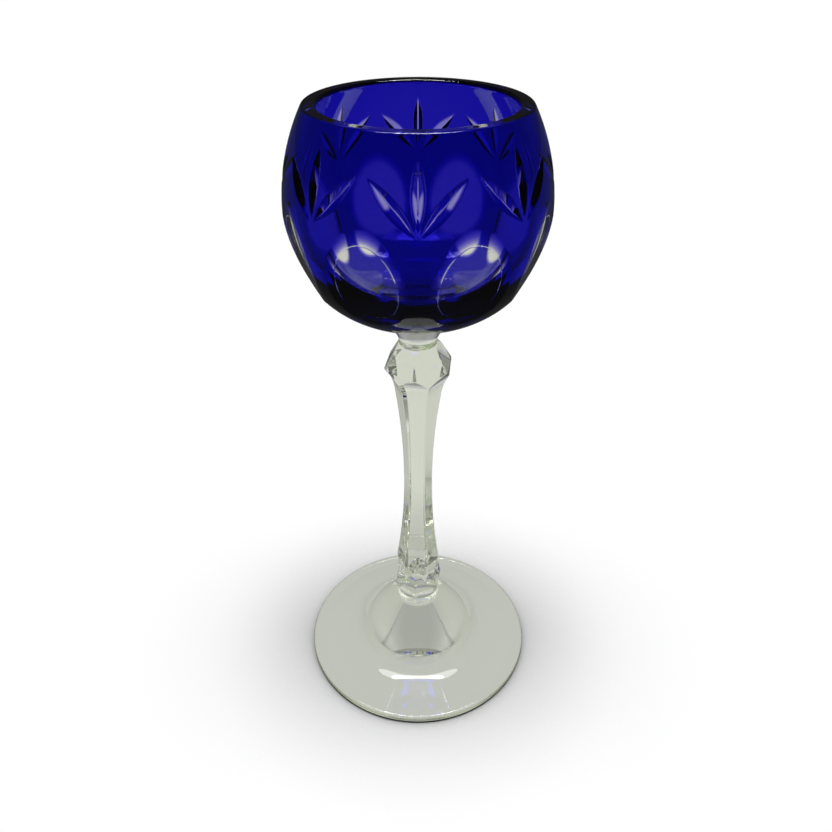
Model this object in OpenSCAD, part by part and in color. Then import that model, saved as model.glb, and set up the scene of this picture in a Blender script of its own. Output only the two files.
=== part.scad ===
// Cordial glass: a cobalt-cased cut bowl on a hexagonal cut stem and a round spreading foot.
// Millimetres, +Z up, origin at the middle of the foot's rest plane, -Y towards the front.

/* [Foot] */
// Diameter of the foot
foot_d = 57.2; // [48:0.2:68]
// Height of the foot up to the button's seat
foot_h = 16.5; // [15:0.5:20]
// Thickness of the foot's rounded edge
foot_edge_t = 1.9; // [1.4:0.1:2.6]
// Diameter of the seat at the top of the foot
foot_seat_d = 11.2; // [10:0.1:12]
// Radius of the round bell below the seat
foot_bell_r = 34; // [30:0.5:38]
// Slope of the bell at the seat, in degrees
foot_bell_top_slope = 37; // [30:1:42]
// Slope of the bell at its lower end, in degrees
foot_bell_low_slope = 58; // [52:1:60]
// Fall of the brim towards its edge, in degrees
foot_brim_fall = 10.5; // [8:0.5:12]
// Width of the flat ring that the foot rests on
foot_rest_w = 2.3; // [1.5:0.1:3.5]
// Height of the hollow under the foot
foot_hollow_h = 2.2; // [1:0.1:3]

/* [Button] */
// Diameter of the round button between foot and stem
button_d = 10.3; // [9.6:0.1:12]
// Height of the button
button_h = 2.9; // [2.2:0.1:4.5]
// Rounding of the button's edges
button_edge_r = 0.7; // [0.4:0.1:1]

/* [Stem] */
// Height of the stem from the button to the collar
stem_h = 72.4; // [60:0.5:90]
// Width across the flats at the stem's waist
stem_waist_w = 5.8; // [5:0.1:7]
// Width across the flats where the flutes end above the lower bead
stem_end_w = 9.25; // [8:0.05:10]
// Width across the flats of the groove above the lower bead
stem_groove_w = 8.9; // [7.6:0.1:9]
// Height of the plain end between the groove and the flutes
stem_end_h = 2.9; // [2:0.1:4]
// Turn of the flutes about the axis, in degrees
stem_turn = 21; // [0:1:60]

/* [Knop] */
// Width across the flats at the knop's girdle
knop_w = 13.6; // [12:0.1:15]
// Height of the knop's upper facets, from girdle to collar
knop_top_h = 5.4; // [4.5:0.1:7]
// Height from the girdle down to where the flutes start to flare
knop_flare_h = 6.9; // [6:0.1:8]
// Width across the flats where the flutes start to flare
knop_neck_w = 9; // [8:0.1:9.6]
// Radius of the flare under the knop
knop_flare_r = 13; // [12:0.5:16]

/* [Lower bead] */
// Height of the six-sided bead on the button
bead_h = 7.1; // [5:0.1:9]
// Height of the bead's girdle above the button
bead_girdle_h = 2.4; // [1.6:0.1:3.4]
// Width across the flats at the bead's girdle
bead_w = 11; // [10:0.1:12.4]
// Width across the flats at the bead's top
bead_top_w = 9.2; // [9:0.1:9.8]
// Width across the flats at the bead's foot
bead_foot_w = 9.4; // [8.6:0.1:9.8]

/* [Collar] */
// Diameter of the collar's waist, where the knop's facets end
collar_d = 8; // [7:0.1:9]
// Height of the collar
collar_h = 5.8; // [4.5:0.1:7]
// Radius of the collar's waist curve
collar_curve_r = 5; // [4:0.5:7]
// Flare of the collar towards the bowl, in degrees
collar_flare = 30; // [20:1:36]

/* [Bowl] */
// Widest diameter of the bowl
bowl_d = 50.8; // [46:0.2:56]
// Height of the rim above the widest line
bowl_upper_h = 18.9; // [14:0.1:22]
// Radius of the wall's curve above the widest line
bowl_upper_r = 38.8; // [34:0.2:60]
// Radius of the belly below the widest line
bowl_belly_r = 26.1; // [24:0.1:28]
// Radius of the shoulder between the belly and the base cone
bowl_shoulder_r = 19.5; // [17:0.1:22]
// Height of the widest line above the bowl's seat on the collar
bowl_lower_h = 23.4; // [21:0.1:26]
// Full thickness of the wall, casing included
bowl_wall_t = 2.6; // [2.2:0.1:3.2]
// Thickness of the blue casing
casing_t = 0.5; // [0.3:0.05:0.8]
// Thickness of the glass under the floor of the bowl
bowl_floor_t = 7.9; // [6:0.1:10]
// Radius of the inside corner around the floor
bowl_corner_r = 14; // [10:0.5:16]
// Rounding of the rim's edges
rim_edge_r = 0.6; // [0.3:0.05:0.9]

/* [Oval cuts] */
// Number of ovals, and of leaf sprigs above the ribs between them
cut_count = 8; // [6:1:9]
// Depth of an oval at its middle
oval_depth = 1.3; // [1:0.05:1.6]
// Height of an oval's middle below the bowl's widest line
oval_drop = 5.2; // [3:0.1:7]
// Radius of the oval's deepest line, along the bowl's height
oval_long_r = 42.4; // [36:0.2:60]
// Radius of the oval's hollow, across the bowl
oval_cross_r = 40; // [25:1:60]
// Lean of the oval's middle, in degrees below level
oval_lean = 15; // [10:0.5:20]

/* [Leaf cuts] */
// Depth of a leaf at its middle
leaf_depth = 1; // [0.7:0.05:1.3]
// Length of the upright leaf
mid_leaf_l = 11.6; // [8:0.1:12]
// Width of the upright leaf
mid_leaf_w = 2.3; // [1.4:0.1:3]
// Height of the upright leaf's middle above the widest line
mid_leaf_rise = 10.2; // [9:0.1:12]
// Length of a slanting leaf
side_leaf_l = 11.8; // [8:0.1:11.8]
// Width of a slanting leaf
side_leaf_w = 2.5; // [1.6:0.1:3]
// Height of a slanting leaf's middle above the widest line
side_leaf_rise = 8.2; // [7:0.1:10]
// Slant of the side leaves from upright, in degrees
side_leaf_slant = 42; // [30:1:50]
// Spread of the side leaves from the upright one, in degrees round the bowl
side_leaf_spread = 10.2; // [8.5:0.1:12]

/* [Hidden] */
$fn = 240;
// Segments of the long, nearly flat arcs
long_arc_fn = 1200;
// Overrun of every cutting shape
over = 1;
// How far an arc is set into its neighbour, so that the two cross and don't just touch
arc_lap = 0.04;
clear_crystal = [0.86, 0.88, 0.84, 0.55];
cobalt = [0.07, 0.05, 0.6, 0.9];

// Levels of the joints, stacked up from the table
button_z = foot_h;
stem_z = button_z + button_h;
collar_z = stem_z + stem_h;
bowl_z = collar_z + collar_h;

// Foot: the round bell, a sweep out of it, and the brim's straight fall to the edge
foot_r = foot_d / 2;
edge_r = foot_edge_t / 2;
edge_c = [foot_r - edge_r, edge_r];
brim_normal = [sin(foot_brim_fall), cos(foot_brim_fall)];
brim_start = edge_c + edge_r * brim_normal;
foot_seat = [foot_seat_d / 2, foot_h];
bell_top_normal = [sin(foot_bell_top_slope), cos(foot_bell_top_slope)];
bell_low_normal = [sin(foot_bell_low_slope), cos(foot_bell_low_slope)];
bell_c = foot_seat - foot_bell_r * bell_top_normal;
bell_end = bell_c + foot_bell_r * bell_low_normal;
sweep_r = (bell_end - brim_start) * brim_normal / (1 - bell_low_normal * brim_normal);
brim_end = bell_end + sweep_r * (bell_low_normal - brim_normal);
sweep_c = bell_end + (sweep_r - arc_lap) * bell_low_normal;
hollow_r = foot_r - edge_r - foot_rest_w;
hollow_curve_r = (hollow_r ^ 2 + foot_hollow_h ^ 2) / (2 * foot_hollow_h);

// Stem: one long hollow makes each flute, and a short flare carries it out to the girdle
knop_turn = stem_turn + 30;
girdle_z = collar_z - knop_top_h;
flare_z = girdle_z - knop_flare_h;
groove_z = stem_z + bead_h;
flute_end_z = groove_z + stem_end_h;
// The shaft is rooted in the bead down to the bead's girdle
root_z = stem_z + bead_girdle_h;
flute_l = flare_z - flute_end_z;
// Square roots of how far a flute stands back from its waist at its upper and lower end
upper_root = sqrt((knop_neck_w - stem_waist_w) / 2);
lower_root = sqrt((stem_end_w - stem_waist_w) / 2);
flute_r = (flute_l / (upper_root + lower_root)) ^ 2 / 2;
waist_z = flute_end_z + flute_l * lower_root / (upper_root + lower_root);
flare_angle = asin((flare_z - waist_z) / flute_r);
flare_shift = knop_flare_r - arc_lap;
flare_c = [
    knop_neck_w / 2 + flare_shift * cos(flare_angle),
    flare_z - flare_shift * sin(flare_angle)
];
stem_reach = knop_w;
// Every second flute is cut a little higher, so that no four faces share one corner
flute_stagger = 0.3;
// Slope of the blank's shoulder, steeper than the facets, so the collar's circle meets them in arcs
shoulder_share = 1.2;

// Collar: a waist curve, then a straight flare up to the bowl's seat
collar_r = collar_d / 2;
collar_curve_end = [
    collar_r + collar_curve_r * (1 - cos(collar_flare)),
    collar_z + collar_curve_r * sin(collar_flare)
];
seat_r = collar_curve_end[0] + (bowl_z - collar_curve_end[1]) * tan(collar_flare);

// Bowl, in levels above its seat: tangent arcs from the rim down to the base cone
bowl_r = bowl_d / 2;
rim_h = bowl_lower_h + bowl_upper_h;
belly_x = bowl_r - bowl_belly_r;
shoulder_shift = bowl_belly_r - bowl_shoulder_r;
// Direction, in whole-number right-triangle legs, in which the belly arc runs into the shoulder arc
belly_legs = [117, 44];
belly_run = belly_legs / norm(belly_legs);
upper_c = [bowl_r - bowl_upper_r, bowl_lower_h];
belly_c = [belly_x, bowl_lower_h];
shoulder_c = belly_c + shoulder_shift * [belly_run[0], -belly_run[1]];
seat_edge = [seat_r, 0];
seat_gap = shoulder_c - seat_edge;
base_slope = atan2(seat_gap[1], seat_gap[0]) - asin(bowl_shoulder_r / norm(seat_gap));
base_run = [cos(base_slope), sin(base_slope)];
base_normal = [sin(base_slope), -cos(base_slope)];
round_h = rim_h - rim_edge_r;
round_rise = bowl_upper_h - rim_edge_r;
rim_outer_c = [upper_c[0] + sqrt((bowl_upper_r - rim_edge_r) ^ 2 - round_rise ^ 2), round_h];
cavity_upper_r = bowl_upper_r - bowl_wall_t;
cavity_belly_r = bowl_belly_r - bowl_wall_t;
rim_inner_c = [upper_c[0] + sqrt((cavity_upper_r + rim_edge_r) ^ 2 - round_rise ^ 2), round_h];
corner_h = bowl_floor_t + bowl_corner_r;
corner_shift = cavity_belly_r - bowl_corner_r + arc_lap;
corner_c = [belly_x + sqrt(corner_shift ^ 2 - (corner_h - bowl_lower_h) ^ 2), corner_h];

// Ovals: the deepest line is an arc through the oval's middle
oval_turn = 180 / cut_count;
oval_mid = [
    belly_x + sqrt(bowl_belly_r ^ 2 - oval_drop ^ 2) - oval_depth,
    bowl_lower_h - oval_drop
];
oval_c = oval_mid - oval_long_r * [cos(oval_lean), -sin(oval_lean)];
oval_ring_r = oval_long_r + oval_cross_r;
// Length of the oval wheel's path round its centre, in degrees
oval_path = 40;
// The oval wheel stays inside its own sector of the bowl
sector_share = 0.9;
oval_half_w = bowl_r * tan(oval_turn) * sector_share;
// How far a leaf wheel's path runs past the leaf's two tips together, in degrees
leaf_run_out = 16;

// Height at which a corner circle touches the arc that it rounds off
function tangent_h(arc_c, corner, r) = corner[1] + r * (corner[1] - arc_c[1]) / norm(corner - arc_c);

// Radius of the wheel that cuts a leaf of a given length and depth in a wall that curves away
function wheel_radius(length, depth, wall_r) = 1 / (8 * depth / length ^ 2 - 1 / wall_r);

// Strip from the axis outwards, between two levels
module slab(low, high, reach) {
    translate([0, low])
        square([reach, high - low]);
}

// What an arc leaves outside itself between two levels, on the side away from the axis
module arc_trim(centre, r, low, high) {
    difference() {
        translate([max(centre[0], 0), low])
            square([bowl_d, high - low]);
        translate(centre)
            circle(r);
    }
}

// Section of the bowl's solid shape, drawn in by an inset from its outer face
module bowl_section(inset) {
    belly_low = bowl_lower_h - (bowl_belly_r - inset) * belly_run[1];
    base_top = shoulder_c + (bowl_shoulder_r - inset) * base_normal;
    base_low = base_top - base_run * (base_top[1] - inset) / base_run[1];
    difference() {
        slab(inset, rim_h, bowl_r - inset);
        arc_trim(upper_c, bowl_upper_r - inset, bowl_lower_h - over, rim_h + over);
        arc_trim(belly_c, bowl_belly_r - inset, belly_low - over, bowl_lower_h);
        arc_trim(shoulder_c, bowl_shoulder_r - inset, base_top[1], belly_low);
        polygon([
            base_low - over * base_run,
            [bowl_d, 0],
            [bowl_d, base_top[1] + over],
            base_top + base_run * over / base_run[1]
        ]);
    }
}

// Whole bowl, uncut, with its outer rim edge rounded
module bowl_blank() {
    round_low = tangent_h(upper_c, rim_outer_c, rim_edge_r);
    rotate_extrude()
        difference() {
            bowl_section(0);
            arc_trim(rim_outer_c, rim_edge_r, round_low, rim_h + over);
        }
}

// What the casing wraps: the blank without its outer layer
module bowl_core() {
    rotate_extrude()
        bowl_section(casing_t);
}

// Inside of the bowl, open at the rim, whose inner edge it rounds
module bowl_cavity() {
    round_low = tangent_h(upper_c, rim_inner_c, -rim_edge_r);
    corner_high = tangent_h(belly_c, corner_c, bowl_corner_r);
    rotate_extrude()
        difference() {
            slab(bowl_floor_t, rim_h + over, bowl_r - bowl_wall_t);
            arc_trim(upper_c, cavity_upper_r, bowl_lower_h - over, round_low);
            arc_trim(belly_c, cavity_belly_r, bowl_floor_t - over, bowl_lower_h);
            arc_trim(corner_c, bowl_corner_r, bowl_floor_t - over, corner_high);
            translate([rim_inner_c[0], round_low])
                square([bowl_d, bowl_d]);
            translate(rim_inner_c)
                circle(rim_edge_r);
        }
}

// Path of the wheel that hollows out one oval, its inner side along the oval's deepest line
module oval_cut() {
    translate([oval_c[0], 0, oval_c[1]])
        rotate([90, 0, 0])
            rotate([0, 0, -oval_lean - oval_path / 2])
                rotate_extrude(angle = oval_path)
                    intersection() {
                        translate([oval_ring_r, 0])
                            circle(oval_cross_r);
                        translate([oval_long_r - over, -oval_half_w])
                            square([oval_depth + 2 * over, 2 * oval_half_w]);
                    }
}

// Mitred edge of the wheel that cuts a leaf, its deepest point at the origin and its axis along Y
module mitre_wheel(r, length, width) {
    path = 2 * asin(length / (2 * r)) + leaf_run_out;
    edge_h = (leaf_depth + over) * width / leaf_depth / 2;
    translate([r, 0, 0])
        rotate([90, 0, 0])
            rotate([0, 0, 180 - path / 2])
                rotate_extrude(angle = path)
                    polygon([
                        [r - leaf_depth - over, -edge_h],
                        [r, 0],
                        [r - leaf_depth - over, edge_h]
                    ]);
}

// One leaf on the upper wall, at a height above the widest line and slanted from upright
module leaf_cut(rise, spread, slant, length, width) {
    lean = asin(rise / bowl_upper_r);
    level_r = upper_c[0] / cos(lean) + bowl_upper_r;
    wall_r = 1 / (cos(slant) ^ 2 / bowl_upper_r + sin(slant) ^ 2 / level_r);
    rotate([0, 0, spread])
        translate([upper_c[0], 0, bowl_lower_h])
            rotate([0, -lean, 0])
                translate([bowl_upper_r - leaf_depth, 0, 0])
                    rotate([slant, 0, 0])
                        mitre_wheel(wheel_radius(length, leaf_depth, wall_r), length, width);
}

// Three leaves that spring from one point
module leaf_sprig() {
    leaf_cut(mid_leaf_rise, 0, 0, mid_leaf_l, mid_leaf_w);
    for (side = [-1, 1])
        leaf_cut(side_leaf_rise, side * side_leaf_spread, -side * side_leaf_slant,
                 side_leaf_l, side_leaf_w);
}

// Every cut in the bowl: a ring of ovals, and a sprig above each rib between them
module bowl_cuts() {
    for (i = [0 : cut_count - 1]) {
        turn = i * 360 / cut_count - 90;
        rotate([0, 0, turn + oval_turn])
            oval_cut();
        rotate([0, 0, turn])
            leaf_sprig();
    }
}

// Six-sided solid: the given section from behind the axis to one face, crossed with itself six times
// Every second face may sit higher by a stagger
module six_sided(turn, stagger = 0) {
    intersection_for (i = [0 : 5])
        rotate([0, 0, turn + i * 60])
            translate([0, 0, i % 2 * stagger])
                rotate([90, 0, 0])
                    linear_extrude(2 * stem_reach, center = true)
                        children();
}

// Section of the cut shaft towards one flute, from its root in the bead to the collar
module flute_section() {
    end_high = flute_end_z + over;
    end_out = stem_end_w / 2 + over * (stem_end_w - stem_groove_w) / 2 / stem_end_h;
    difference() {
        polygon([
            [-stem_reach, root_z],
            [stem_groove_w / 2, root_z],
            [stem_groove_w / 2, groove_z],
            [end_out, end_high],
            [stem_reach, end_high],
            [stem_reach, collar_z],
            [-stem_reach, collar_z]
        ]);
        intersection() {
            slab(groove_z, flare_z, 2 * stem_reach);
            translate([stem_waist_w / 2 + flute_r, waist_z])
                circle(flute_r, $fn = long_arc_fn);
        }
        intersection() {
            slab(flare_z - 2 * over, girdle_z + over, 2 * stem_reach);
            translate(flare_c)
                circle(knop_flare_r);
        }
    }
}

// Section of the knop towards one facet: upright below the girdle, drawn in above it
module knop_section() {
    polygon([
        [-stem_reach, root_z],
        [knop_w / 2, root_z],
        [knop_w / 2, girdle_z],
        [collar_r, collar_z],
        [-stem_reach, collar_z]
    ]);
}

// Section of the lower bead towards one facet
module bead_section() {
    polygon([
        [-stem_reach, stem_z],
        [bead_foot_w / 2, stem_z],
        [bead_w / 2, stem_z + bead_girdle_h],
        [bead_top_w / 2, groove_z],
        [-stem_reach, groove_z]
    ]);
}

// Round blank that the shaft is cut from, drawn in to the collar at its top
module stem_blank() {
    shoulder_h = (knop_w - collar_r) / shoulder_share;
    rotate_extrude()
        polygon([
            [0, root_z],
            [knop_w, root_z],
            [knop_w, collar_z - shoulder_h],
            [collar_r, collar_z],
            [0, collar_z]
        ]);
}

module foot() {
    color(clear_crystal)
        rotate_extrude()
            difference() {
                union() {
                    translate(edge_c)
                        circle(edge_r);
                    polygon([
                        [0, 0],
                        [edge_c[0], 0],
                        brim_start,
                        brim_end,
                        bell_end,
                        [0, bell_end[1]]
                    ]);
                    intersection() {
                        translate(bell_c)
                            circle(foot_bell_r);
                        slab(brim_end[1], foot_h, foot_r);
                    }
                }
                translate(sweep_c)
                    circle(sweep_r);
                translate([0, foot_hollow_h - hollow_curve_r])
                    circle(hollow_curve_r, $fn = long_arc_fn);
                translate([-foot_d, 0])
                    square([foot_d, foot_h + over]);
            }
}

module button() {
    color(clear_crystal)
        rotate_extrude() {
            slab(button_z, stem_z, button_d / 2 - button_edge_r);
            slab(button_z + button_edge_r, stem_z - button_edge_r, button_d / 2);
            for (z = [button_z + button_edge_r, stem_z - button_edge_r])
                translate([button_d / 2 - button_edge_r, z])
                    circle(button_edge_r);
        }
}

module stem() {
    color(clear_crystal)
        union() {
            intersection() {
                stem_blank();
                six_sided(stem_turn, flute_stagger)
                    flute_section();
                six_sided(knop_turn)
                    knop_section();
            }
            six_sided(knop_turn)
                bead_section();
        }
}

module collar() {
    color(clear_crystal)
        rotate_extrude()
            difference() {
                polygon([
                    [0, collar_z],
                    [collar_r, collar_z],
                    collar_curve_end,
                    [seat_r, bowl_z],
                    [0, bowl_z]
                ]);
                translate([collar_r + collar_curve_r, collar_z])
                    circle(collar_curve_r);
            }
}

module bowl_lining() {
    color(clear_crystal)
        translate([0, 0, bowl_z])
            difference() {
                intersection() {
                    bowl_core();
                    bowl_blank();
                }
                bowl_cavity();
                bowl_cuts();
            }
}

module bowl_casing() {
    color(cobalt)
        translate([0, 0, bowl_z])
            difference() {
                bowl_blank();
                bowl_core();
                bowl_cuts();
            }
}

foot();
button();
stem();
collar();
bowl_lining();
bowl_casing();
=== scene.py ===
import math

import bpy
import numpy as np
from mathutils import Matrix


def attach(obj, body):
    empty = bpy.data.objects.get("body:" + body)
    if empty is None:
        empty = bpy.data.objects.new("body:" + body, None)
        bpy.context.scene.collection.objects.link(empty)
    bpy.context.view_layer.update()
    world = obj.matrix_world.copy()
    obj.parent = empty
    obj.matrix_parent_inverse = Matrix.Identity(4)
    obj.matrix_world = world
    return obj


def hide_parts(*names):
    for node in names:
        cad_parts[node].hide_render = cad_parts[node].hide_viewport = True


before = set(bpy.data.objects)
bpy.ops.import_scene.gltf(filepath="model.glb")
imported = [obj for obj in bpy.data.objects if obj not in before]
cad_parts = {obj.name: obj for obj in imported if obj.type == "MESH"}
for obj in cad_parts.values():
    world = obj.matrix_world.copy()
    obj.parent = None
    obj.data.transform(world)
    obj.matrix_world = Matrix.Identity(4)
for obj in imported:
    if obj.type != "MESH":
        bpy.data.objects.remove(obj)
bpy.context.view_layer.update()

MM = 0.001
TAU = 2 * math.pi

# Sizes in millimetres, the same named values as the part's source
FOOT_R, FOOT_H, EDGE_R, FOOT_SEAT_R = 28.6, 16.5, 0.95, 5.6
BELL_R, BRIM_FALL, REST_W, HOLLOW_H = 34.0, math.radians(10.5), 2.3, 2.2
BELL_TOP_SLOPE, BELL_SLOPE = math.radians(37), math.radians(58)
BUTTON_R, BUTTON_H, BUTTON_EDGE_R = 5.15, 2.9, 0.7
STEM_H, WAIST_W, END_W, GROOVE_W, END_H = 72.4, 5.8, 9.25, 8.9, 2.9
STEM_TURN, KNOP_TURN, STAGGER = 21, 51, 0.3
KNOP_W, KNOP_TOP_H, FLARE_H, NECK_W, FLARE_R = 13.6, 5.4, 6.9, 9.0, 13.0
BEAD_H, BEAD_GIRDLE_H, BEAD_W, BEAD_TOP_W, BEAD_FOOT_W = 7.1, 2.4, 11.0, 9.2, 9.4
COLLAR_R, COLLAR_H, COLLAR_CURVE_R, COLLAR_FLARE = 4.0, 5.8, 5.0, math.radians(30)
BOWL_R, UPPER_H, UPPER_R, BELLY_R, SHOULDER_R, LOWER_H = 25.4, 18.9, 38.8, 26.1, 19.5, 23.4
WALL_T, CASING_T, FLOOR_T, CORNER_R, RIM_R = 2.6, 0.5, 7.9, 14.0, 0.6
BELLY_END = (117 / 125, 44 / 125)
CUTS = 8
LEAF_DEPTH, MID_L, MID_W, MID_RISE = 1.0, 11.6, 2.3, 10.2
SIDE_L, SIDE_W, SIDE_RISE = 11.8, 2.5, 8.2
SIDE_SLANT, SIDE_SPREAD = math.radians(42), math.radians(10.2)

# Cut otherwise than in the part's source: the ovals with flatter wheels, and the leaves not quite
# through the blue, so that a skin of it is left
OVAL_DEPTH, OVAL_DROP, OVAL_LEAN = 1.1, 2.7, math.radians(11.6)
OVAL_LONG_R, OVAL_CROSS_R = 59.0, 300.0
LEAF_SKIN = 0.17

BUTTON_Z = FOOT_H
STEM_Z = BUTTON_Z + BUTTON_H
COLLAR_Z = STEM_Z + STEM_H
BOWL_Z = COLLAR_Z + COLLAR_H

# Half the clear gap between two pieces that touch, in millimetres
JOIN_GAP = 0.004

# Values of the attribute open_face: a face polished to the air, or fused to the next piece
GLASS, JOINED = 1.0, -1.0

# Mesh points round the foot and collar, round the button, and across one eighth of the bowl
ROUND_N, BUTTON_N, SECTOR_N = 480, 360, 112

# A distance beyond every piece, the deepest that a cut is looked for, and the halvings that find it
FAR, DEEPEST_CUT, HALVINGS = 99.0, 2.4, 26

# How fast the stem's round blank widens below the collar, in radius for each millimetre of height
BLANK_SLOPE = 1.2

# Polished glass: refraction, a very faint ripple (scale, height in metres) and an uneven film on it
GLASS_IOR, RIPPLE_SCALE, RIPPLE_HEIGHT = 1.52, 180.0, 0.000004
FILM_SCALE, FILM_START, FILM_END, FILM_ROUGHNESS = 0.4, 0.45, 0.8, 0.02

# Floor: half its width and its drop in metres, paper, reach of the painted shade close to the foot,
# and the tones that glass shows of it: a painted shadow near the foot, lighter further out
FLOOR_HALF, FLOOR_DROP = 4.0, 0.00005
PAPER, PAINTED_SHADE_REACH, PAINTED_SHADE_SAMPLES = (0.97, 0.97, 0.97, 1), 0.035, 4
PAINTED_SHADOW_TONE, FAR_TONE = (0.56, 0.575, 0.52, 1), (0.70, 0.72, 0.64, 1)
PAINTED_SHADOW_END, FAR_START = 0.025, 0.07

# World: brightness by height, and lighter panels from this far to the sides
SKY = ((0.0, 1.0), (0.10, 0.95), (0.24, 0.5), (0.50, 0.4), (0.72, 0.8), (1.0, 0.8))
PANEL_START, PANEL_END, MIDDLE_LIGHT, PANEL_LIGHT = 0.12, 0.5, 0.58, 0.84

# What mirror reflections see of the floor and the world, how much darker the front of the room is,
# and where that begins and is full
FLOOR_SHEEN, WORLD_SHEEN = 0.05, 0.04
FRONT_DUSK, FLOOR_DUSK, WORLD_DUSK = 0.55, (-0.035, -0.07), (-0.05, -0.35)

# Lamps: name, strength, width and lean in degrees
LAMPS = (("softbox", 1.9, 28, 0), ("softbox_left", 0.63, 22, -13), ("softbox_right", 0.63, 22, 13))
LAMP_DISTANCE, LAMP_SPECULAR = 0.62, 0.4

# Camera, solved from the ellipses of the rim and the foot
CAMERA_AT, CAMERA_TILT = (0, -0.14343, 0.17214), math.radians(55.27)
LENS_MM, SENSOR_MM, CLIP_START = 33.62, 36, 0.01
PHOTO_PX, SHIFT_PX = 832, -2


def arc(centre, r, a, b, step):
    """Points on an arc from angle a to b in radians, about step millimetres apart."""
    n = max(3, int(abs(b - a) * r / step) + 1)
    t = np.linspace(a, b, n)
    return np.stack([centre[0] + r * np.cos(t), centre[1] + r * np.sin(t)], 1)


def line(a, b, step):
    """Points on a straight line, about step millimetres apart."""
    n = max(2, int(math.dist(a, b) / step) + 1)
    t = np.linspace(0, 1, n)[:, None]
    return np.asarray(a, float) * (1 - t) + np.asarray(b, float) * t


def joined(*parts):
    """One polyline out of several that follow each other."""
    rows = [parts[0]]
    for p in parts[1:]:
        rows.append(p[1:] if np.linalg.norm(p[0] - rows[-1][-1]) < 1e-6 else p)
    return np.concatenate(rows)


def turned(profile, n):
    """The sheet that a polyline of (r, z) sweeps round the axis."""
    a = np.linspace(0, TAU, n, endpoint=False) - math.pi / 2
    r, z = profile[:, 0][:, None], profile[:, 1][:, None]
    return np.stack([r * np.cos(a), r * np.sin(a), np.broadcast_to(z, (len(profile), n))], 2)


class Shell:
    """Gathers sheets of vertices, each with its own smooth shading, into one mesh object."""

    def __init__(self):
        self.co, self.quads, self.open, self.count = [], [], [], 0

    def sheet(self, grid, faces_out=GLASS, keep=None):
        """Add a grid of points that closes on itself sideways, with only the faces in keep."""
        rows, cols = grid.shape[:2]
        i = np.arange(rows - 1)[:, None]
        j = np.arange(cols)[None, :]
        k = (j + 1) % cols
        q = np.stack([i * cols + j, (i + 1) * cols + j, (i + 1) * cols + k, i * cols + k], 2)
        q = q.reshape(-1, 4)
        if keep is not None:
            q = q[keep.reshape(-1)]
        self.quads.append(q + self.count)
        self.co.append(grid.reshape(-1, 3))
        self.open.append(np.broadcast_to(faces_out, (rows, cols)).reshape(-1).astype(float))
        self.count += rows * cols

    def build(self, name, material, node):
        """Make the object, without points that no face uses, and hide the CAD node that it stands
        for.
        """
        co = np.concatenate(self.co) * MM
        quads = np.concatenate(self.quads)
        values = np.concatenate(self.open)
        used = np.zeros(len(co), bool)
        used[quads.reshape(-1)] = True
        index = np.cumsum(used) - 1
        co, quads, values = co[used], index[quads], values[used]
        me = bpy.data.meshes.new(name)
        me.vertices.add(len(co))
        me.vertices.foreach_set("co", co.reshape(-1))
        me.loops.add(quads.size)
        me.loops.foreach_set("vertex_index", quads.reshape(-1).astype(np.int32))
        me.polygons.add(len(quads))
        me.polygons.foreach_set("loop_start", np.arange(0, quads.size, 4, dtype=np.int32))
        me.polygons.foreach_set("use_smooth", np.ones(len(quads), bool))
        tag = me.attributes.new("open_face", "FLOAT", "POINT")
        tag.data.foreach_set("value", values)
        me.update(calc_edges=True)
        me.materials.append(material)
        ob = bpy.data.objects.new(name, me)
        bpy.context.scene.collection.objects.link(ob)
        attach(ob, "root")
        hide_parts(node)


def add(tree, kind, **inputs):
    """A node with numbers or colours set on its inputs."""
    node = tree.nodes.new(kind)
    for key, value in inputs.items():
        node.inputs[key.replace("_", " ")].default_value = value
    return node


def maths(tree, operation, *sources):
    """The result of a math node; each source is a socket to link or a number."""
    node = tree.nodes.new("ShaderNodeMath")
    node.operation = operation
    for socket, source in zip(node.inputs, sources):
        if isinstance(source, float):
            socket.default_value = source
        else:
            tree.links.new(source, socket)
    return node.outputs[0]


def ranged(tree, source, start, end, low, high, shape="SMOOTHSTEP"):
    """The result of a map range node: low at start, high at end."""
    node = tree.nodes.new("ShaderNodeMapRange")
    node.interpolation_type = shape
    for key, value in (("From Min", start), ("From Max", end), ("To Min", low), ("To Max", high)):
        node.inputs[key].default_value = value
    tree.links.new(source, node.inputs["Value"])
    return node.outputs["Result"]


def mixed(tree, share, first, second):
    """The result of a mix shader: first where share is 0, second where it is 1."""
    node = tree.nodes.new("ShaderNodeMixShader")
    for socket, source in zip(node.inputs, (share, first, second)):
        tree.links.new(source, socket)
    return node.outputs[0]


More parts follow.
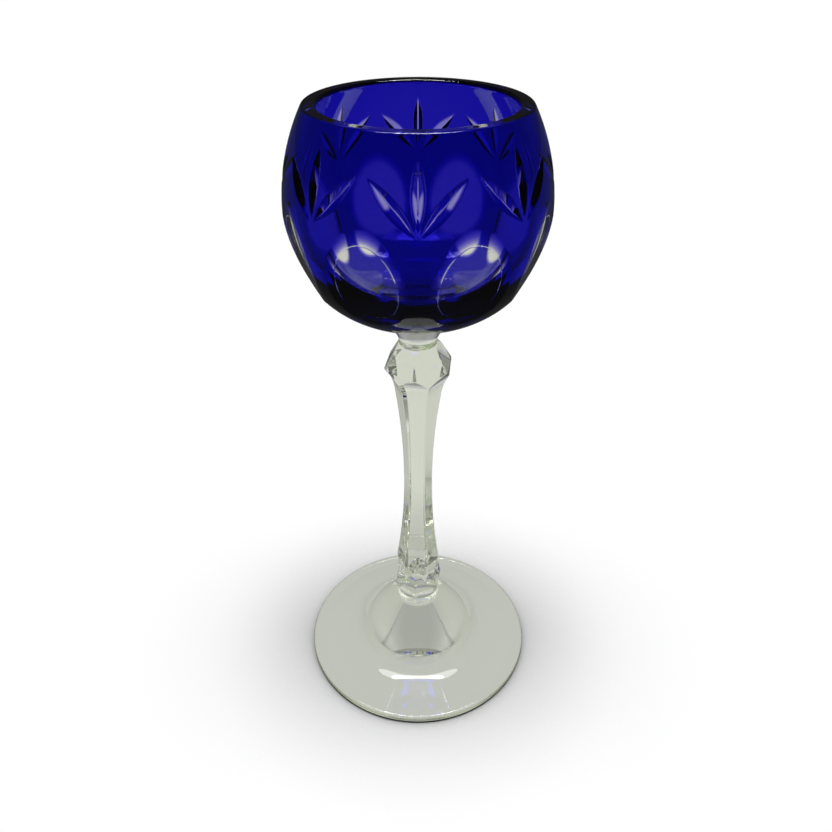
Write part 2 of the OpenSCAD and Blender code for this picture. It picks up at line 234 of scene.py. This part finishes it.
def glass_material(name, absorb, density):
    """Polished glass: clear to the air, nothing at the next piece, and colour in its depth."""
    mat = bpy.data.materials.new(name)
    mat.use_nodes = True
    tree = mat.node_tree
    tree.nodes.clear()
    link = tree.links.new
    out = add(tree, "ShaderNodeOutputMaterial")
    body = add(tree, "ShaderNodeBsdfPrincipled", IOR=GLASS_IOR, Transmission_Weight=1)
    body.inputs["Base Color"].default_value = (1, 1, 1, 1)
    place = add(tree, "ShaderNodeTexCoord")
    wander = add(tree, "ShaderNodeTexNoise", Scale=RIPPLE_SCALE, Detail=2.0)
    bump = add(tree, "ShaderNodeBump", Strength=1.0, Distance=RIPPLE_HEIGHT)
    film = add(tree, "ShaderNodeTexNoise", Scale=RIPPLE_SCALE * FILM_SCALE, Detail=4.0)
    link(place.outputs["Object"], wander.inputs["Vector"])
    link(place.outputs["Object"], film.inputs["Vector"])
    link(wander.outputs["Fac"], bump.inputs["Height"])
    link(bump.outputs["Normal"], body.inputs["Normal"])
    rough = ranged(tree, film.outputs["Fac"], FILM_START, FILM_END, 0.0, FILM_ROUGHNESS, "LINEAR")
    link(rough, body.inputs["Roughness"])
    tag = tree.nodes.new("ShaderNodeAttribute")
    tag.attribute_name = "open_face"
    is_open = maths(tree, "GREATER_THAN", tag.outputs["Fac"], 0.0)
    through = add(tree, "ShaderNodeBsdfTransparent")
    link(mixed(tree, is_open, through.outputs[0], body.outputs[0]), out.inputs["Surface"])
    depth = add(tree, "ShaderNodeVolumeAbsorption", Density=density, Color=(*absorb, 1))
    link(depth.outputs[0], out.inputs["Volume"])
    return mat


crystal = glass_material("crystal_clear", (0.62, 0.72, 0.40), 12.0)
cobalt = glass_material("crystal_cobalt", (0.28, 0.21, 0.885), 11000.0)


# Foot: seat, sweep, brim, rounded edge, rest ring and hollow
def make_foot():
    n = ROUND_N
    edge_c = np.array([FOOT_R - EDGE_R, EDGE_R])
    normal = np.array([math.sin(BRIM_FALL), math.cos(BRIM_FALL)])
    start = edge_c + EDGE_R * normal
    steep = np.array([math.sin(BELL_SLOPE), math.cos(BELL_SLOPE)])
    top = np.array([math.sin(BELL_TOP_SLOPE), math.cos(BELL_TOP_SLOPE)])
    bell_c = np.array([FOOT_SEAT_R, FOOT_H]) - BELL_R * top
    bell_end = bell_c + BELL_R * steep
    rise = float((bell_end - start) @ normal)
    sweep_r = rise / (1 - float(steep @ normal))
    sweep_c = bell_end + sweep_r * steep
    end = sweep_c - sweep_r * normal
    a_top = math.atan2(-steep[1], -steep[0]) % TAU
    a_low = math.atan2(-normal[1], -normal[0]) % TAU
    hollow_r = FOOT_R - EDGE_R - REST_W
    ball_r = (hollow_r ** 2 + HOLLOW_H ** 2) / (2 * HOLLOW_H)
    ball_c = np.array([0, HOLLOW_H - ball_r])
    a_rim = math.atan2(-ball_c[1], hollow_r)
    shell = Shell()
    seat = FOOT_H - JOIN_GAP
    shell.sheet(turned(line((0, seat), (BUTTON_R - BUTTON_EDGE_R, seat), 0.5), n), JOINED)
    shell.sheet(turned(line((BUTTON_R - BUTTON_EDGE_R, seat), (FOOT_SEAT_R, seat), 0.2), n))
    shell.sheet(turned(joined(
        arc(bell_c, BELL_R, math.pi / 2 - BELL_TOP_SLOPE, math.pi / 2 - BELL_SLOPE, 0.2),
        arc(sweep_c, sweep_r, a_top, a_low, 0.15),
        line(end, start, 0.5),
        arc(edge_c, EDGE_R, math.pi / 2 - BRIM_FALL, -math.pi / 2, 0.1),
    ), n))
    shell.sheet(turned(line((edge_c[0], 0), (hollow_r, 0), 0.5), n))
    shell.sheet(turned(arc(ball_c, ball_r, a_rim, math.pi / 2, 0.5), n))
    shell.build("foot_crystal", crystal, "foot")


# Button: a low round disc with rounded edges
def make_button():
    n = BUTTON_N
    low, high = BUTTON_Z + JOIN_GAP, STEM_Z - JOIN_GAP
    r = BUTTON_R - BUTTON_EDGE_R
    shell = Shell()
    shell.sheet(turned(line((0, high), (r, high), 0.5), n), JOINED)
    shell.sheet(turned(joined(
        arc((r, high - BUTTON_EDGE_R), BUTTON_EDGE_R, math.pi / 2, 0, 0.05),
        line((BUTTON_R, high - BUTTON_EDGE_R), (BUTTON_R, low + BUTTON_EDGE_R), 0.1),
        arc((r, low + BUTTON_EDGE_R), BUTTON_EDGE_R, 0, -math.pi / 2, 0.05),
    ), n))
    shell.sheet(turned(line((r, low), (0, low), 0.5), n), JOINED)
    shell.build("button_crystal", crystal, "button")


# Stem: six flutes, knop and lower bead, as the distance from the axis at every angle and level
def make_stem():
    girdle = COLLAR_Z - KNOP_TOP_H
    flare = girdle - FLARE_H
    groove = STEM_Z + BEAD_H
    end = groove + END_H
    root = STEM_Z + BEAD_GIRDLE_H
    up, down = math.sqrt((NECK_W - WAIST_W) / 2), math.sqrt((END_W - WAIST_W) / 2)
    length = flare - end
    flute_r = (length / (up + down)) ** 2 / 2
    waist = end + length * down / (up + down)
    tilt = math.asin((flare - waist) / flute_r)
    flare_c = (NECK_W / 2 + FLARE_R * math.cos(tilt), flare - FLARE_R * math.sin(tilt))

    def flute(z):
        low_end = GROOVE_W / 2 + np.maximum(z - groove, 0) * (END_W - GROOVE_W) / 2 / END_H
        a = np.where(z <= end + 1, low_end, FAR)
        hollow = WAIST_W / 2 + flute_r - np.sqrt(flute_r ** 2 - (z - waist) ** 2)
        a = np.where((z >= groove) & (z <= flare), np.minimum(a, hollow), a)
        cove = flare_c[0] - np.sqrt(np.maximum(FLARE_R ** 2 - (z - flare_c[1]) ** 2, 0))
        return np.where((z > flare) & (z < girdle + 1), np.minimum(a, cove), a)

    def six(turn, widths, phi):
        r = np.full((len(widths[0]), len(phi)), FAR)
        for k in range(6):
            c = np.cos(phi - math.radians(turn + 60 * k))[None, :]
            w = widths[k % 2][:, None]
            r = np.where(c > 1e-3, np.minimum(r, w / np.maximum(c, 1e-3)), r)
        return r

    phi = np.radians(np.arange(0, 360, 1.0) - 90)

    def shaft(z):
        knop = np.where(z <= girdle, KNOP_W / 2,
                        COLLAR_R + (COLLAR_Z - z) / KNOP_TOP_H * (KNOP_W / 2 - COLLAR_R))
        blank = COLLAR_R + (COLLAR_Z - z) * BLANK_SLOPE
        flutes = six(STEM_TURN, (flute(z), flute(z - STAGGER)), phi)
        r = np.minimum(flutes, six(KNOP_TURN, (knop, knop), phi))
        return np.minimum(r, np.maximum(blank, COLLAR_R)[:, None])

    def bead(z):
        w = np.interp(z, [STEM_Z, root, groove], [BEAD_FOOT_W / 2, BEAD_W / 2, BEAD_TOP_W / 2])
        return six(KNOP_TURN, (w, w), phi)

    def levels(a, b, step):
        return np.linspace(a, b, max(2, int((b - a) / step) + 1))

    def grid(r, z):
        return np.stack([r * np.cos(phi), r * np.sin(phi), np.broadcast_to(z[:, None], r.shape)], 2)

    shell = Shell()
    top = COLLAR_Z - JOIN_GAP
    low = STEM_Z + JOIN_GAP
    cap = np.linspace(0, COLLAR_R, 6)[:, None] * np.ones_like(phi)[None, :]
    shell.sheet(grid(cap, np.full(6, top)), JOINED)
    spans = ((top, girdle, 0.15), (girdle, flare, 0.15), (flare, end, 0.3), (end, groove, 0.15))
    for a, b, step in spans:
        z = levels(b, a, step)[::-1]
        shell.sheet(grid(shaft(z), z))
    z = np.full(2, groove)
    below = np.maximum(bead(z), shaft(z - 0.001))
    shell.sheet(grid(np.stack([shaft(z)[0], below[0]]), z))
    z = levels(root, groove, 0.15)[::-1]
    shell.sheet(grid(np.maximum(bead(z), shaft(z - 0.001)), z))
    z = levels(low, root, 0.15)[::-1]
    shell.sheet(grid(bead(z), z))
    z = np.full(2, low)
    ring = np.full(len(phi), BUTTON_R - BUTTON_EDGE_R)
    shell.sheet(grid(np.stack([bead(z)[0], ring]), z))
    shell.sheet(grid(ring[None, :] * np.linspace(1, 0, 6)[:, None], np.full(6, low)), JOINED)
    shell.build("stem_crystal", crystal, "stem")


# Collar: a waist curve and a flare under the bowl
def make_collar():
    """Make the collar and return the radius of its seat under the bowl."""
    n = ROUND_N
    low, high = COLLAR_Z + JOIN_GAP, BOWL_Z - JOIN_GAP
    curve_c = (COLLAR_R + COLLAR_CURVE_R, COLLAR_Z)
    curve_end = (
        COLLAR_R + COLLAR_CURVE_R * (1 - math.cos(COLLAR_FLARE)),
        COLLAR_Z + COLLAR_CURVE_R * math.sin(COLLAR_FLARE),
    )
    seat_r = curve_end[0] + (BOWL_Z - curve_end[1]) * math.tan(COLLAR_FLARE)
    shell = Shell()
    shell.sheet(turned(line((0, high), (seat_r, high), 0.5), n), JOINED)
    shell.sheet(turned(joined(
        line((seat_r, high), curve_end, 0.1),
        arc(curve_c, COLLAR_CURVE_R, math.pi - COLLAR_FLARE, math.pi, 0.08),
    ), n))
    shell.sheet(turned(line((COLLAR_R, low), (0, low), 0.5), n), JOINED)
    shell.build("collar_crystal", crystal, "collar")
    return seat_r


# How deep the ovals and the leaves go below the blank's wall, at points in one eighth of the bowl
def cut_depth(points, normals, lower_h, upper_x, belly_x):
    mid_x = belly_x + math.sqrt(BELLY_R ** 2 - OVAL_DROP ** 2) - OVAL_DEPTH
    mid_z = lower_h - OVAL_DROP
    oval_x = mid_x - OVAL_LONG_R * math.cos(OVAL_LEAN)
    oval_z = mid_z + OVAL_LONG_R * math.sin(OVAL_LEAN)

    def spin(p, a):
        c, s = math.cos(a), math.sin(a)
        x, y = p[..., 0], p[..., 1]
        return np.stack([x * c + y * s, -x * s + y * c, p[..., 2]], -1)

    def oval(turn):
        def f(p):
            q = spin(p, turn)
            rho = np.hypot(q[..., 0] - oval_x, q[..., 2] - oval_z)
            y = np.clip(q[..., 1], -OVAL_CROSS_R, OVAL_CROSS_R)
            return OVAL_LONG_R + OVAL_CROSS_R - np.sqrt(OVAL_CROSS_R ** 2 - y ** 2) - rho
        return f

    def leaf(rise, spread, slant, length, width):
        lean = math.asin(rise / UPPER_R)
        level_r = upper_x / math.cos(lean) + UPPER_R
        wall_r = 1 / (math.cos(slant) ** 2 / UPPER_R + math.sin(slant) ** 2 / level_r)
        wheel = 1 / (8 * LEAF_DEPTH / length ** 2 - 1 / wall_r)

        def f(p):
            q = spin(p, spread)
            x, y, z = q[..., 0] - upper_x, q[..., 1], q[..., 2] - lower_h
            c, s = math.cos(lean), math.sin(lean)
            x, z = x * c + z * s, -x * s + z * c
            x = x - (UPPER_R - LEAF_DEPTH)
            c, s = math.cos(slant), math.sin(slant)
            y, z = y * c + z * s, -y * s + z * c
            return np.hypot(x - wheel, z) + np.abs(y) * 2 * LEAF_DEPTH / width - wheel
        return f

    step = math.pi / CUTS
    tools = [oval(step), oval(-step), leaf(MID_RISE, 0, 0, MID_L, MID_W)]
    for side in (-1, 1):
        tools.append(leaf(SIDE_RISE, side * SIDE_SPREAD, -side * SIDE_SLANT, SIDE_L, SIDE_W))
    found = []
    for f in tools:
        inside = f(points) < 0
        lo, hi = np.zeros(inside.shape), np.full(inside.shape, DEEPEST_CUT)
        for _ in range(HALVINGS):
            m = (lo + hi) / 2
            cut = f(points - m[..., None] * normals) < 0
            lo, hi = np.where(cut, m, lo), np.where(cut, hi, m)
        found.append(np.where(inside, lo, 0))
    return np.maximum.reduce(found[:2]), np.maximum.reduce(found[2:])


# Bowl: the clear lining, and the blue casing over it that the cuts pierce
def make_bowl(seat_r):
    sector = SECTOR_N
    n = sector * CUTS
    rim = LOWER_H + UPPER_H
    upper_x, belly_x = BOWL_R - UPPER_R, BOWL_R - BELLY_R
    upper_c, belly_c = np.array([upper_x, LOWER_H]), np.array([belly_x, LOWER_H])
    shoulder_c = belly_c + (BELLY_R - SHOULDER_R) * np.array([BELLY_END[0], -BELLY_END[1]])
    seat_gap = shoulder_c - np.array([seat_r, 0])
    slope = math.atan2(seat_gap[1], seat_gap[0]) - math.asin(SHOULDER_R / math.hypot(*seat_gap))
    base_normal = np.array([math.sin(slope), -math.cos(slope)])
    round_h, rise = rim - RIM_R, UPPER_H - RIM_R
    outer_c = np.array([upper_x + math.sqrt((UPPER_R - RIM_R) ** 2 - rise ** 2), round_h])
    inner_r = UPPER_R - WALL_T
    inner_c = np.array([upper_x + math.sqrt((inner_r + RIM_R) ** 2 - rise ** 2), round_h])
    a_out = math.atan2(rise, outer_c[0] - upper_x)
    a_in = math.atan2(rise, inner_c[0] - upper_x)
    core_top = upper_x + math.sqrt((UPPER_R - CASING_T) ** 2 - UPPER_H ** 2)

    # Wall from the rim's rounding to the base cone, with its outward normals
    step = 0.2
    pieces = [
        (upper_c, UPPER_R, a_out, 0.0),
        (belly_c, BELLY_R, 0.0, -math.asin(BELLY_END[1])),
        (shoulder_c, SHOULDER_R, -math.asin(BELLY_END[1]), slope - math.pi / 2),
    ]
    wall, normal = [], []
    for centre, r, a, b in pieces:
        p = arc(centre, r, a, b, step)
        m = (p - centre) / r
        wall.append(p if not wall else p[1:])
        normal.append(m if not normal else m[1:])
    base_top = shoulder_c + SHOULDER_R * base_normal
    p = line(base_top, (seat_r, 0), step)[1:]
    wall.append(p)
    normal.append(np.broadcast_to(base_normal, p.shape))
    wall, normal = np.concatenate(wall), np.concatenate(normal)

    a = (np.arange(sector) / sector - 0.5) * TAU / CUTS
    ca, sa = np.cos(a), np.sin(a)
    z = np.broadcast_to(wall[:, 1][:, None], (len(wall), sector))
    nz = np.broadcast_to(normal[:, 1][:, None], (len(wall), sector))
    points = np.stack([wall[:, 0][:, None] * ca, wall[:, 0][:, None] * sa, z], 2)
    normals = np.stack([normal[:, 0][:, None] * ca, normal[:, 0][:, None] * sa, nz], 2)
    ovals, leaves = cut_depth(points, normals, LOWER_H, upper_x, belly_x)
    ovals, leaves = np.tile(ovals, (1, CUTS)), np.tile(leaves, (1, CUTS))
    depth = np.maximum(ovals, leaves)
    core = np.maximum(np.maximum(ovals, CASING_T), np.where(leaves > 0, leaves + LEAF_SKIN, 0))
    full = (np.arange(n) / sector - 0.5) * TAU / CUTS - math.pi / 2
    cf, sf = np.cos(full), np.sin(full)

    def raised(profile, norm, dig):
        """The wall sunk along its normals by dig, and lifted to its place on the collar."""
        r = profile[:, 0][:, None] - norm[:, 0][:, None] * dig
        h = profile[:, 1][:, None] - norm[:, 1][:, None] * dig
        return np.stack([r * cf, r * sf, h + BOWL_Z], 2)

    def level(profile):
        """The sheet that a polyline sweeps round the axis, lifted the same way."""
        up = np.asarray(profile, float) + np.array([0, BOWL_Z])
        r = up[:, 0][:, None] * np.ones(n)[None, :]
        return np.stack([r * cf, r * sf, np.broadcast_to(up[:, 1][:, None], r.shape)], 2)

    # Casing
    thick = core - depth
    cell = (thick[:-1] > 0) | (thick[1:] > 0)
    cell = cell | np.roll(cell, -1, 1)
    cap = joined(
        line((core_top, rim), (outer_c[0], rim), 0.1),
        arc(outer_c, RIM_R, math.pi / 2, a_out, 0.05),
    )
    outer = np.concatenate([level(cap)[:-1], raised(wall, normal, depth)])
    keep = np.concatenate([np.ones((len(cap) - 1, n), bool), cell])
    casing = Shell()
    casing.sheet(outer, GLASS, keep)
    low = JOIN_GAP
    casing.sheet(level(line((seat_r, low), (0, low), 1.0)), JOINED)
    casing.sheet(level(line((0, CASING_T), (seat_r - 0.2, CASING_T), 1.0)), JOINED)
    inner = raised(wall, normal, core)
    inner[..., 2] = np.maximum(inner[..., 2], BOWL_Z + CASING_T)
    casing.sheet(inner[::-1], JOINED, cell[::-1])
    casing.sheet(level(line(wall[0] - normal[0] * CASING_T, (core_top, rim), 0.1)), JOINED)
    casing.build("casing_cobalt", cobalt, "bowl_casing")

    # Lining
    skin = CASING_T + 2 * JOIN_GAP
    corner_h = FLOOR_T + CORNER_R
    belly_in = BELLY_R - WALL_T
    shift = belly_in - CORNER_R
    corner_c = np.array([belly_x + math.sqrt(shift ** 2 - (corner_h - LOWER_H) ** 2), corner_h])
    a_corner = math.atan2(corner_c[1] - LOWER_H, corner_c[0] - belly_x)
    lining = Shell()
    lining.sheet(level(joined(
        line((0, FLOOR_T), (corner_c[0], FLOOR_T), 0.8),
        arc(corner_c, CORNER_R, -math.pi / 2, a_corner, 0.5),
        arc(belly_c, belly_in, a_corner, 0, 0.6),
        arc(upper_c, inner_r, 0, a_in, 0.6),
        arc(inner_c, RIM_R, a_in + math.pi, math.pi / 2, 0.08),
        line((inner_c[0], rim), (core_top - 2 * JOIN_GAP, rim), 0.2),
    )))
    seam = line((core_top - 2 * JOIN_GAP, rim), wall[0] - normal[0] * skin, 0.1)
    lining.sheet(level(seam), JOINED)
    under = raised(wall, normal, np.where(thick > 0, core + 2 * JOIN_GAP, depth))
    under[..., 2] = np.maximum(under[..., 2], BOWL_Z + skin)
    lining.sheet(under, np.where(thick > 0, -thick, depth - CASING_T))
    lining.sheet(level(line((seat_r - 0.2, skin), (0, skin), 1.0)), JOINED)
    lining.build("lining_crystal", crystal, "bowl_lining")


make_foot()
make_button()
make_stem()
make_bowl(make_collar())


# Share of light left for a ray that glass has thrown back towards the darker front of the room
def front_dusk(tree, side, path, start, full):
    thrown_back = maths(tree, "MINIMUM", path.outputs["Glossy Depth"], 1.0)
    front = ranged(tree, side, start, full, 0.0, FRONT_DUSK)
    return maths(tree, "SUBTRACT", 1.0, maths(tree, "MULTIPLY", front, thrown_back))


# Floor: pale paper that keeps the object's shadow, with painted shade close to the foot, and shows
# a glowing greenish grey through the glass, with a painted shadow near the foot
def make_floor():
    me = bpy.data.meshes.new("studio_floor")
    s = FLOOR_HALF
    me.from_pydata([(-s, -s, 0), (s, -s, 0), (s, s, 0), (-s, s, 0)], [], [(0, 1, 2, 3)])
    ob = bpy.data.objects.new("studio_floor", me)
    ob.location.z = -FLOOR_DROP
    bpy.context.scene.collection.objects.link(ob)
    mat = bpy.data.materials.new("studio_paper")
    mat.use_nodes = True
    tree = mat.node_tree
    tree.nodes.clear()
    link = tree.links.new
    out = add(tree, "ShaderNodeOutputMaterial")
    path = add(tree, "ShaderNodeLightPath")
    place = add(tree, "ShaderNodeTexCoord")

    # Seen directly: paper, with painted shade close to the foot from an ambient occlusion node
    paper = add(tree, "ShaderNodeBsdfDiffuse")
    painted_contact_shade = add(tree, "ShaderNodeAmbientOcclusion", Color=PAPER, Distance=PAINTED_SHADE_REACH)
    painted_contact_shade.samples = PAINTED_SHADE_SAMPLES
    link(painted_contact_shade.outputs["Color"], paper.inputs["Color"])

    # Through glass: a glowing tone with a painted shadow, darker close to the foot and lighter away
    # from it
    reach = tree.nodes.new("ShaderNodeVectorMath")
    reach.operation = "LENGTH"
    link(place.outputs["Object"], reach.inputs[0])
    tone_with_painted_shadow = tree.nodes.new("ShaderNodeMix")
    tone_with_painted_shadow.data_type = "RGBA"
    tone_with_painted_shadow.inputs[6].default_value, tone_with_painted_shadow.inputs[7].default_value = PAINTED_SHADOW_TONE, FAR_TONE
    link(ranged(tree, reach.outputs["Value"], PAINTED_SHADOW_END, FAR_START, 0.0, 1.0), tone_with_painted_shadow.inputs[0])
    axes = add(tree, "ShaderNodeSeparateXYZ")
    link(place.outputs["Object"], axes.inputs[0])
    glow = add(tree, "ShaderNodeEmission")
    link(tone_with_painted_shadow.outputs[2], glow.inputs["Color"])
    link(front_dusk(tree, axes.outputs["Y"], path, *FLOOR_DUSK), glow.inputs["Strength"])

    # In mirror reflections: nearly nothing
    sheen = add(tree, "ShaderNodeEmission", Strength=FLOOR_SHEEN)
    reflected = mixed(tree, path.outputs["Is Reflection Ray"], glow.outputs[0], sheen.outputs[0])
    glossy, transmitted = path.outputs["Is Glossy Ray"], path.outputs["Is Transmission Ray"]
    seen = maths(tree, "MAXIMUM", glossy, transmitted)
    link(mixed(tree, seen, paper.outputs[0], reflected), out.inputs["Surface"])
    me.materials.append(mat)


make_floor()


# World: white for the camera; through glass white at the horizon, darker above, with a lighter panel
# at each side; nearly black in mirror reflections
def make_world():
    world = bpy.data.worlds.new("studio")
    bpy.context.scene.world = world
    world.use_nodes = True
    tree = world.node_tree
    tree.nodes.clear()
    link = tree.links.new
    out = add(tree, "ShaderNodeOutputWorld")
    path = add(tree, "ShaderNodeLightPath")
    coord = add(tree, "ShaderNodeTexCoord")
    split = add(tree, "ShaderNodeSeparateXYZ")
    link(coord.outputs["Generated"], split.inputs[0])
    ramp = add(tree, "ShaderNodeValToRGB")
    ramp.color_ramp.interpolation = "EASE"
    marks = ramp.color_ramp.elements
    for at, value in SKY:
        mark = marks[0] if at == 0 else marks[-1] if at == 1 else marks.new(at)
        mark.color = (value, value, value, 1)
    link(split.outputs["Z"], ramp.inputs["Fac"])
    aside = maths(tree, "ABSOLUTE", split.outputs["X"])
    panels = ranged(tree, aside, PANEL_START, PANEL_END, MIDDLE_LIGHT, PANEL_LIGHT)
    dusk = front_dusk(tree, split.outputs["Y"], path, *WORLD_DUSK)
    ground = add(tree, "ShaderNodeBackground")
    link(ramp.outputs["Color"], ground.inputs["Color"])
    link(maths(tree, "MULTIPLY", panels, dusk), ground.inputs["Strength"])
    dim = add(tree, "ShaderNodeBackground", Strength=WORLD_SHEEN)
    white = add(tree, "ShaderNodeBackground", Color=(1, 1, 1, 1), Strength=1.0)
    through = mixed(tree, path.outputs["Is Reflection Ray"], ground.outputs[0], dim.outputs[0])
    direct = mixed(tree, path.outputs["Is Camera Ray"], through, white.outputs[0])
    link(direct, out.inputs["Surface"])


make_world()


# Lamps: a soft one overhead, and a weaker one leaned to each side
def make_lamp(name, energy, angle, lean):
    data = bpy.data.lights.new(name, "SUN")
    data.angle = math.radians(angle)
    data.specular_factor = LAMP_SPECULAR
    data.energy = energy
    ob = bpy.data.objects.new(name, data)
    lean = math.radians(lean)
    ob.location = (LAMP_DISTANCE * math.sin(lean), 0, LAMP_DISTANCE * math.cos(lean))
    ob.rotation_euler = (0, lean, 0)
    bpy.context.scene.collection.objects.link(ob)


for lamp in LAMPS:
    make_lamp(*lamp)


# Camera at the photograph's place
def make_camera():
    scene = bpy.context.scene
    cam = bpy.data.cameras.new("camera")
    cam.sensor_width = SENSOR_MM
    cam.lens = LENS_MM
    cam.shift_x = SHIFT_PX / PHOTO_PX
    cam.clip_start = CLIP_START
    ob = bpy.data.objects.new("camera", cam)
    ob.location = CAMERA_AT
    ob.rotation_euler = (CAMERA_TILT, 0, 0)
    scene.collection.objects.link(ob)
    scene.camera = ob


make_camera()

# Enough bounces for light to pass through every layer of glass
scene = bpy.context.scene
scene.view_settings.view_transform = "Standard"
scene.cycles.max_bounces = 32
scene.cycles.transmission_bounces = 32
scene.cycles.glossy_bounces = 16
scene.cycles.transparent_max_bounces = 64
scene.cycles.caustics_refractive = False
scene.cycles.caustics_reflective = False
